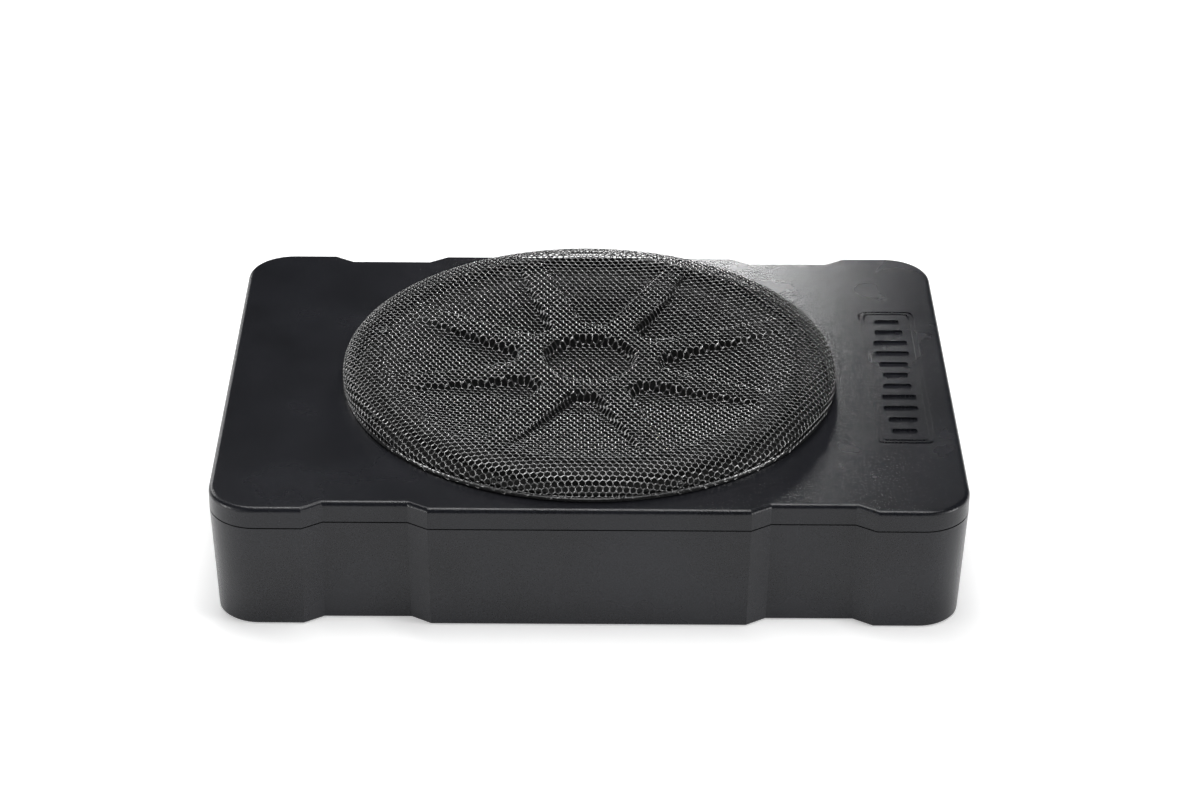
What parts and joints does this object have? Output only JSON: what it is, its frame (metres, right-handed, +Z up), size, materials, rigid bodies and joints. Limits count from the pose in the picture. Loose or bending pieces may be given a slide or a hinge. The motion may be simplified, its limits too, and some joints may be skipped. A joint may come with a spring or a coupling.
{
  "type": "powered car subwoofer",
  "caption": "Flat powered under-seat subwoofer: cast two-part case, shallow driver under a round embossed mesh grille, built-in amplifier and a recessed connection panel.",
  "frame": {"origin": "centre of the underside of the case, on the surface it stands on", "axes": "+X along the long side towards the framed relief panel, +Y to the rear, +Z up through the grille"},
  "size_m": [0.36, 0.26, 0.0783],
  "materials": {
    "housing_paint": "fine-textured charcoal powder coat on cast aluminium",
    "cover_paint": "fine-textured charcoal powder coat on cast aluminium",
    "seal_rubber": "matt black foam rubber",
    "black_screws": "black zinc",
    "insert_brass": "turned brass",
    "grille_paint": "semi-gloss black on perforated steel",
    "ring_plastic": "black moulded nylon",
    "basket_paint": "black semi-matt paint on cast aluminium",
    "surround_rubber": "matt butyl rubber",
    "spider_cloth": "resin-stiffened cotton weave",
    "cone_paper": "pressed black paper pulp",
    "cap_gloss": "satin black moulding",
    "former_film": "amber polyimide film",
    "copper_wire": "enamelled copper wire",
    "motor_steel": "zinc-plated turned steel",
    "ferrite": "sintered ferrite",
    "black_mould": "black glass-filled moulding",
    "contact_tin": "tinned brass contacts",
    "lead_copper": "braided copper",
    "header_mould": "off-white nylon moulding",
    "wire_pvc": "black PVC insulation",
    "board": "green solder mask on glass-epoxy board",
    "bright_screws": "zinc plated",
    "spreader_alu": "sawn aluminium extrusion",
    "can_sleeve": "shrunk black sleeve with bare aluminium top",
    "panel_paint": "matt black paint on sheet steel",
    "rca_metal": "plated brass",
    "white_mould": "white moulding",
    "red_mould": "red moulding",
    "shaft_metal": "nickel-plated brass",
    "knob_mould": "black moulding",
    "led_lens": "blue tinted lens"
  },
  "bodies": {
    "case": {"lower_housing": "housing_paint", "top_cover": "cover_paint", "cover_gasket": "seal_rubber", "cover_screws": "black_screws", "mounting_inserts": "insert_brass", "grille": "grille_paint", "grille_ring": "ring_plastic", "driver_basket": "basket_paint", "basket_gasket": "seal_rubber", "trim_ring": "seal_rubber", "basket_screws": "black_screws", "surround": "surround_rubber", "spider": "spider_cloth", "pole_piece": "motor_steel", "magnet": "ferrite", "top_plate": "motor_steel", "terminal_strip": "black_mould", "terminal_lugs": "contact_tin", "tinsel_leads": "lead_copper", "speaker_header": "header_mould", "speaker_wires": "wire_pvc", "circuit_board": "board", "board_screws": "bright_screws", "heat_spreader": "spreader_alu", "spreader_screws": "bright_screws", "power_transistors": "black_mould", "clamp_bar": "motor_steel", "clamp_screws": "bright_screws", "toroid_core": "ferrite", "toroid_winding": "copper_wire", "choke_core": "ferrite", "choke_winding": "copper_wire", "capacitors": "can_sleeve", "control_chips": "black_mould", "control_panel": "panel_paint", "panel_screws": "black_screws", "power_socket": "black_mould", "power_pins": "contact_tin", "speaker_input_socket": "header_mould", "speaker_input_pins": "contact_tin", "remote_port": "black_mould", "rca_shells": "rca_metal", "rca_insulator_left": "white_mould", "rca_insulator_right": "red_mould", "potentiometers": "black_mould", "switch_bodies": "black_mould", "status_led": "led_lens"},
    "cone_assembly": {"cone": "cone_paper", "dust_cap": "cap_gloss", "voice_coil_former": "former_film", "voice_coil_winding": "copper_wire"},
    "gain_control": {"gain_shaft": "shaft_metal", "gain_knob": "knob_mould"},
    "low_pass_control": {"low_pass_shaft": "shaft_metal", "low_pass_knob": "knob_mould"},
    "bass_boost_control": {"bass_boost_shaft": "shaft_metal", "bass_boost_knob": "knob_mould"},
    "phase_button": {"phase_switch": "knob_mould"},
    "level_button": {"level_switch": "knob_mould"}
  },
  "joints": [
    {"name": "cone_travel", "type": "slide", "parent": "case", "child": "cone_assembly", "axis": [0, 0, 1], "range_m": [-0.007, 0.007], "stiffness_N_per_m": 4000, "deforming": ["surround", "spider", "tinsel_leads"]},
    {"name": "gain_turn", "type": "hinge", "parent": "case", "child": "gain_control", "pos_m": [-0.166, 0.029, 0.025], "axis": [1, 0, 0], "range_deg": [-140, 140]},
    {"name": "low_pass_turn", "type": "hinge", "parent": "case", "child": "low_pass_control", "pos_m": [-0.166, 0.044, 0.025], "axis": [1, 0, 0], "range_deg": [-140, 140]},
    {"name": "bass_boost_turn", "type": "hinge", "parent": "case", "child": "bass_boost_control", "pos_m": [-0.166, 0.059, 0.025], "axis": [1, 0, 0], "range_deg": [-140, 140]},
    {"name": "phase_slide", "type": "slide", "parent": "case", "child": "phase_button", "axis": [0, 1, 0], "range_m": [0, 0.002]},
    {"name": "level_slide", "type": "slide", "parent": "case", "child": "level_button", "axis": [0, 1, 0], "range_m": [0, 0.002]}
  ]
}
